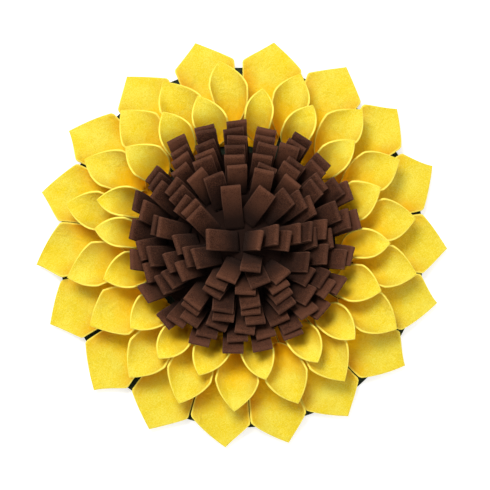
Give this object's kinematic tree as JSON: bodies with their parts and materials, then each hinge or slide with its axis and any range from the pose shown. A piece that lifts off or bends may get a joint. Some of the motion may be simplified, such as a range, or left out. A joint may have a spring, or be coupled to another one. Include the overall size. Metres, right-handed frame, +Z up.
{
  "type": "snuffle mat",
  "caption": "Round felt snuffle mat like a sunflower: rings of rolled yellow felt leaves round a pile of brown felt loops, sewn on a dark green felt disc.",
  "frame": {"origin": "middle of the backing disc's underside, on the floor", "axes": "+Z up, away from the floor; +Y towards the top of the picture, +X to its right"},
  "size_m": [0.4475, 0.4486, 0.0633],
  "materials": {
    "dark_green_felt": "matt dark green felt, nearly black",
    "yellow_felt": "matt lemon yellow felt",
    "brown_felt": "matt chocolate brown felt"
  },
  "bodies": {
    "root": {"backing": "dark_green_felt", "outer_petal_01": "yellow_felt", "outer_petal_02": "yellow_felt", "outer_petal_03": "yellow_felt", "outer_petal_04": "yellow_felt", "outer_petal_05": "yellow_felt", "outer_petal_06": "yellow_felt", "outer_petal_07": "yellow_felt", "outer_petal_08": "yellow_felt", "outer_petal_09": "yellow_felt", "outer_petal_10": "yellow_felt", "outer_petal_11": "yellow_felt", "outer_petal_12": "yellow_felt", "outer_petal_13": "yellow_felt", "outer_petal_14": "yellow_felt", "outer_petal_15": "yellow_felt", "outer_petal_16": "yellow_felt", "outer_petal_17": "yellow_felt", "outer_petal_18": "yellow_felt", "middle_petal_01": "yellow_felt", "middle_petal_02": "yellow_felt", "middle_petal_03": "yellow_felt", "middle_petal_04": "yellow_felt", "middle_petal_05": "yellow_felt", "middle_petal_06": "yellow_felt", "middle_petal_07": "yellow_felt", "middle_petal_08": "yellow_felt", "middle_petal_09": "yellow_felt", "middle_petal_10": "yellow_felt", "middle_petal_11": "yellow_felt", "middle_petal_12": "yellow_felt", "middle_petal_13": "yellow_felt", "middle_petal_14": "yellow_felt", "middle_petal_15": "yellow_felt", "middle_petal_16": "yellow_felt", "middle_petal_17": "yellow_felt", "middle_petal_18": "yellow_felt", "inner_petal_01": "yellow_felt", "inner_petal_02": "yellow_felt", "inner_petal_03": "yellow_felt", "inner_petal_04": "yellow_felt", "inner_petal_05": "yellow_felt", "inner_petal_06": "yellow_felt", "inner_petal_07": "yellow_felt", "inner_petal_08": "yellow_felt", "inner_petal_09": "yellow_felt", "inner_petal_10": "yellow_felt", "inner_petal_11": "yellow_felt", "inner_petal_12": "yellow_felt", "inner_petal_13": "yellow_felt", "inner_petal_14": "yellow_felt", "inner_petal_15": "yellow_felt", "inner_petal_16": "yellow_felt", "inner_petal_17": "yellow_felt", "inner_petal_18": "yellow_felt", "loop_pile": "brown_felt"}
  },
  "joints": []
}
